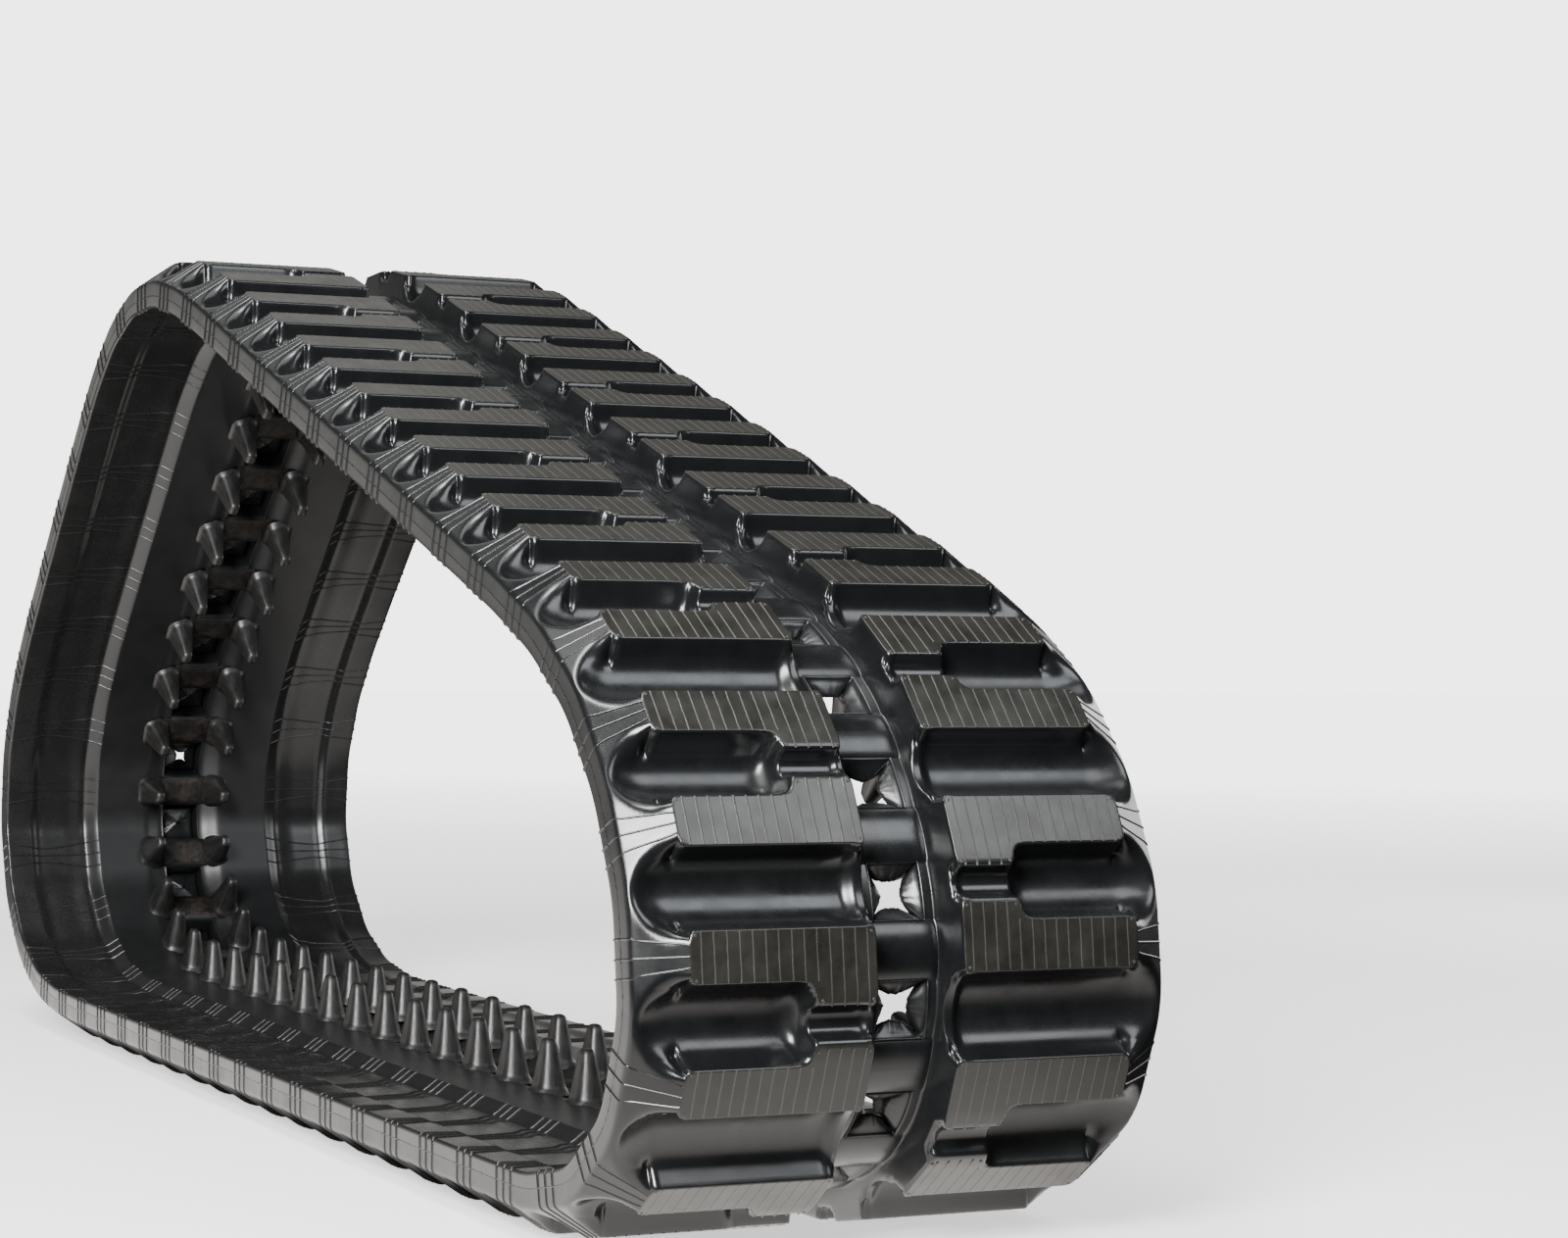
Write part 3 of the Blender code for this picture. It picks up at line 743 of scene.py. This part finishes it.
def cut_at_middle(mesh, keep_first):
    """Deletes the faces beyond the middle of the gap, so that the halves can part."""
    belt = np.zeros(len(mesh.vertices) * 3, np.float32)
    mesh.attributes["belt"].data.foreach_get("vector", belt)
    u = belt.reshape(-1, 3)[:, 0]
    bm = bmesh.new()
    bm.from_mesh(mesh)
    bm.faces.ensure_lookup_table()
    doomed = []
    for face in bm.faces:
        middle = sum(u[v.index] for v in face.verts) / len(face.verts)
        if (middle > MID) == keep_first:
            doomed.append(face)
    bmesh.ops.delete(bm, geom=doomed, context="FACES")
    bm.to_mesh(mesh)
    bm.free()


def mount_rubber(piece, k, a, b):
    """A rubber piece rides on the body of both its cores when they share one; otherwise it
    stays fixed in world space on no body.
    """
    if a == b:
        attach(piece, a)
    else:
        start, end = (Vector(place(k, u, 0, 0)) for u in (FLAT, PITCH - FLAT))
        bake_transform(piece)
    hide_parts(*RUBBER_NODES)


for k in range(LINKS):
    after = (k + 1) % LINKS
    for label, make, material, slot in (("tread", tread_shape, TREAD, "tread_rubber"),
                                        ("carcass", carcass_shape, CARCASS, "carcass_rubber")):
        name = f"{label}_{k + 1:02d}"
        shape = make(k, np.random.RandomState(1000 + k))
        if k == OPEN_GAP:
            for tag, keep, core in (("a", True, k), ("b", False, after)):
                mesh = shape.mesh(name + tag, k)
                cut_at_middle(mesh, keep)
                piece = new_piece(name + tag, mesh, material)
                mount_rubber(piece, k, BODY[core], BODY[core])
        else:
            piece = new_piece(name, shape.mesh(name, k), material)
            mount_rubber(piece, k, BODY[k], BODY[after])

core_rng = np.random.RandomState(7)  # shared by the steel shapes and their order
HORN_MESHES = [horn_shape(side).mesh(f"guide_horn_{side}") for side in (-1, 1)]
STEEL_MESHES = [steel_shape(core_rng).mesh(f"core_steel_{i}") for i in range(4)]
for mesh in HORN_MESHES:
    mesh.materials.append(HORN)
for mesh in STEEL_MESHES:
    mesh.materials.append(STEEL)

for k in range(LINKS):
    low = place(k, 0, 0, 0)
    seat = Matrix.Translation(low) @ Matrix.Rotation(-HEADING[k], 4, "Y")
    for label, mesh, slot in (("horn_left", HORN_MESHES[0], "carcass_rubber"),
                              ("horn_right", HORN_MESHES[1], "carcass_rubber"),
                              ("core_bridge", STEEL_MESHES[core_rng.randint(4)], "core_steel")):
        piece = bpy.data.objects.new(f"{label}_{k + 1:02d}", mesh)
        bpy.context.scene.collection.objects.link(piece)
        piece.matrix_world = seat
        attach(piece, BODY[k])
        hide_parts(f"core_bar_{k + 1:02d}")


# ---------------------------------------------------------------- stage, light and camera
def area_light(name, at, to, size, power, colour):
    data = bpy.data.lights.new(name, "AREA")
    data.shape = "RECTANGLE"
    data.size, data.size_y = size
    data.energy = power
    data.color = colour
    light = bpy.data.objects.new(name, data)
    bpy.context.scene.collection.objects.link(light)
    light.location = at
    light.visible_camera = False
    light.rotation_euler = (Vector(to) - Vector(at)).to_track_quat("-Z", "Y").to_euler()
    return light


FLOOR_REACH = 30.0
FLOOR_Z = -0.001
BACKDROP = 4.0  # brightness of the white backdrop


def studio_table():
    """Pale floor, seamless with the backdrop. What the rubber reflects of it is a lit table.

    The table lies to the left of the track, and beneath the track its glow is cut out as a
    painted shadow.
    """
    m = Nodes("studio_floor")
    place_xyz = m.add("ShaderNodeSeparateXYZ", {0: m.coordinates()}).outputs
    x, y = place_xyz["X"], place_xyz["Y"]
    reach = m.add("ShaderNodeVectorMath", {0: m.coordinates()}, operation="LENGTH")
    reach = reach.outputs["Value"]
    m.shader.inputs["Base Color"].default_value = grey(0.85)
    m.shader.inputs["Roughness"].default_value = 0.9
    m.shader.inputs["Specular IOR Level"].default_value = 0.1
    m.shader.inputs["Emission Color"].default_value = (1, 1, 1, 1)
    m.join(m.ramp(reach, 2.0, 9.0, 1.0, 3.7), "Emission Strength")
    table = m.math("MULTIPLY", m.ramp(y, 0.5, 0.15), m.ramp(y, -2.4, -1.4))
    length = m.math("MULTIPLY", m.ramp(x, 1.35, 1.0), m.ramp(x, -2.2, -1.4))
    table = m.math("MULTIPLY", table, length)
    # Painted shadow: the table's glow is dimmed under the track, where the track would shade
    # it.
    beneath = m.math("MULTIPLY", m.ramp(m.math("ABSOLUTE", y), 0.24, 0.2),
                     m.ramp(x, 0.74, 0.64))
    shaded = m.math("SUBTRACT", 1.0, m.math("MULTIPLY", beneath, 0.97))
    table = m.math("MULTIPLY", table, shaded)
    glow = m.math("ADD", m.math("MULTIPLY", table, 2.4), m.ramp(x, -0.4, -1.6, 0.03, 0.16))
    seen = m.add("ShaderNodeLightPath").outputs["Is Camera Ray"]
    lit = m.add("ShaderNodeEmission", {"Color": (1, 0.955, 0.92, 1), "Strength": glow})
    both = m.add("ShaderNodeMixShader", {0: seen, 1: lit.outputs[0], 2: m.shader.outputs[0]})
    m.tree.links.new(both.outputs[0], m.tree.nodes["Material Output"].inputs["Surface"])
    return m.material


floor_mesh = bpy.data.meshes.new("studio_floor")
floor_mesh.from_pydata([(x * FLOOR_REACH, y * FLOOR_REACH, FLOOR_Z)
                        for x, y in ((-1, -1), (1, -1), (1, 1), (-1, 1))], [], [(0, 1, 2, 3)])
floor = new_piece("studio_floor", floor_mesh, studio_table())


def make_world():
    """White backdrop. What the track reflects is a darker studio, lighter at the back."""
    world = bpy.data.worlds.new("studio")
    bpy.context.scene.world = world
    world.use_nodes = True
    tree = world.node_tree
    tree.nodes.clear()

    def add(kind, values=None, **settings):
        node = tree.nodes.new(kind)
        for key, value in settings.items():
            setattr(node, key, value)
        for key, value in (values or {}).items():
            if isinstance(value, bpy.types.NodeSocket):
                tree.links.new(value, node.inputs[key])
            else:
                node.inputs[key].default_value = value
        return node

    way = add("ShaderNodeTexCoord").outputs["Generated"]
    height = add("ShaderNodeSeparateXYZ", {0: way}).outputs

    def ramp(value, low, high, to_low, to_high):
        return add("ShaderNodeMapRange", {"Value": value, "From Min": low, "From Max": high,
                                          "To Min": to_low, "To Max": to_high},
                   interpolation_type="SMOOTHSTEP").outputs["Result"]

    def join(operation, a, b):
        return add("ShaderNodeMath", {0: a, 1: b}, operation=operation).outputs[0]

    back = ramp(height["X"], -0.1, -0.6, 0, 1)
    panel = add("ShaderNodeVectorMath", {0: way, 1: (-0.9, 0.3, 0.25)}, operation="DOT_PRODUCT")
    glow = join("ADD", 0.05, ramp(panel.outputs["Value"], 0.86, 0.95, 0, 0.2))
    glow = join("ADD", glow, ramp(height["Z"], 0.0, 0.3, 0.85, 0))
    shine = join("ADD", 0.045, join("MULTIPLY", back, glow))
    studio = add("ShaderNodeBackground", {"Color": (1, 0.985, 0.93, 1), "Strength": shine})
    backdrop = add("ShaderNodeBackground", {"Color": (1, 1, 1, 1), "Strength": BACKDROP})
    seen = add("ShaderNodeLightPath").outputs["Is Camera Ray"]
    both = add("ShaderNodeMixShader", {0: seen, 1: studio.outputs[0], 2: backdrop.outputs[0]})
    add("ShaderNodeOutputWorld", {"Surface": both.outputs[0]})


make_world()

# Softboxes: name, place, point aimed at, size in metres, watts, colour
WHITE = (1, 1, 1)
COOL = (0.92, 0.96, 1.0)
LIGHTS = (("key_left", (2.9, -2.3, 1.9), (0.8, 0, 0.4), (1.2, 1.4), 380, WHITE),
          ("front_top", (2.0, 0.72, 1.62), (0.88, 0, 0.45), (1.0, 0.95), 20, COOL),
          ("side_right", (-0.5, 3.2, 1.1), (-0.3, 0, 0.4), (2.8, 1.0), 36, WHITE),
          ("back_top", (-2.6, 0.2, 3.0), (0, 0, 0.5), (2.2, 1.6), 5.5, WHITE),
          ("left_top", (0.75, -1.0, 3.5), (0.35, -0.2, 0.7), (1.0, 0.9), 70, WHITE),
          ("overhead", (0.3, -0.9, 4.6), (0.3, -0.9, 0), (3.4, 3.4), 88, WHITE))
for light in LIGHTS:
    area_light(*light)

# Camera, with its principal point and focal length in pixels of the image
IMAGE_WIDTH, IMAGE_HEIGHT = 1600, 1263
PRINCIPAL_X, PRINCIPAL_Y = 600, 766
FOCAL = 3349.33
SENSOR = 36.0
CAMERA_AT = (3.0969, -1.1859, 0.4588)
RIGHT = Vector((0.3980633748839101, 0.9173185545361486, 0.008498180917402676))
DOWN = Vector((0.03159128986229387, -0.004449359902008121, -0.9994909672427765))
LOOK = Vector((-0.9168137978782989, 0.39812921608288865, -0.03075040357067782))

camera_data = bpy.data.cameras.new("camera")
camera_data.sensor_width = SENSOR
camera_data.lens = FOCAL / IMAGE_WIDTH * SENSOR
camera_data.shift_x = (IMAGE_WIDTH / 2 - PRINCIPAL_X) / IMAGE_WIDTH
camera_data.shift_y = (PRINCIPAL_Y - IMAGE_HEIGHT / 2) / IMAGE_WIDTH
camera_data.clip_end = 100.0
camera = bpy.data.objects.new("camera", camera_data)
bpy.context.scene.collection.objects.link(camera)
camera_turn = Matrix((RIGHT, -DOWN, -LOOK)).transposed().to_4x4()
camera.matrix_world = Matrix.Translation(CAMERA_AT) @ camera_turn
bpy.context.scene.camera = camera
